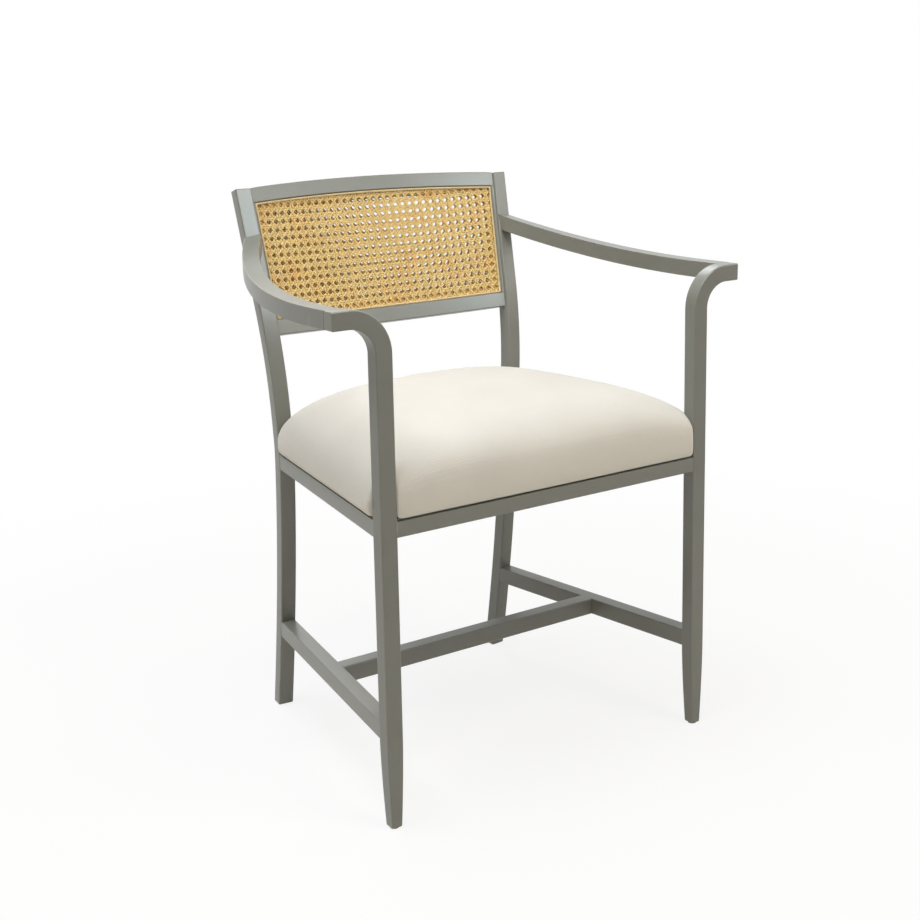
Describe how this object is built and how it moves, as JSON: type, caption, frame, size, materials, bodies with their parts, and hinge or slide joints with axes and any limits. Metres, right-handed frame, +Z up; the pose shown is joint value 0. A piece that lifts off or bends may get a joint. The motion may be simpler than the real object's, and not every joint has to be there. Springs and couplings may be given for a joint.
{
  "type": "fauteuil",
  "caption": "Open armchair in painted wood with arms that scroll outwards, a raked back panelled in woven cane, a crowned upholstered seat and an H stretcher under splayed legs.",
  "frame": {"origin": "centre of the bounding box in plan, on the floor under the glides", "axes": "+Z up; the chair faces -Y, so its back is towards +Y; +X is to the right of a person looking at its front, and the chair is symmetric about the plane X = 0"},
  "size_m": [0.6742, 0.4944, 0.8376],
  "materials": {
    "painted_wood": "satin grey-green paint over solid wood",
    "cane": "natural woven rattan cane, semi-matt",
    "cane_bead": "natural rattan reed bead, semi-matt",
    "linen": "off-white plain weave, matt",
    "foam": "open-cell foam",
    "plywood": "bare plywood",
    "block_wood": "bare hardwood",
    "dowel_wood": "bare beech",
    "dust_cloth": "black non-woven cloth",
    "zinc_steel": "zinc plated",
    "glide_nylon": "dark nylon"
  },
  "bodies": {
    "root": {"front_leg_right": "painted_wood", "rear_leg_right": "painted_wood", "side_seat_rail_right": "painted_wood", "side_stretcher_right": "painted_wood", "arm_right": "painted_wood", "back_stile_right": "painted_wood", "front_corner_block_right": "block_wood", "rear_corner_block_right": "block_wood", "front_seat_screw_right": "zinc_steel", "rear_seat_screw_right": "zinc_steel", "front_arm_dowel_right": "dowel_wood", "rear_arm_dowel_right": "dowel_wood", "front_glide_right": "glide_nylon", "rear_glide_right": "glide_nylon", "front_leg_left": "painted_wood", "rear_leg_left": "painted_wood", "side_seat_rail_left": "painted_wood", "side_stretcher_left": "painted_wood", "arm_left": "painted_wood", "back_stile_left": "painted_wood", "front_corner_block_left": "block_wood", "rear_corner_block_left": "block_wood", "front_seat_screw_left": "zinc_steel", "rear_seat_screw_left": "zinc_steel", "front_arm_dowel_left": "dowel_wood", "rear_arm_dowel_left": "dowel_wood", "front_glide_left": "glide_nylon", "rear_glide_left": "glide_nylon", "front_seat_rail": "painted_wood", "rear_seat_rail": "painted_wood", "cross_stretcher": "painted_wood", "crest_rail": "painted_wood", "lower_back_rail": "painted_wood", "cane_front": "cane", "cane_rear": "cane", "cane_bead_front": "cane_bead", "cane_bead_rear": "cane_bead", "seat_cover": "linen", "seat_foam": "foam", "seat_board": "plywood", "dust_cover": "dust_cloth"}
  },
  "joints": []
}
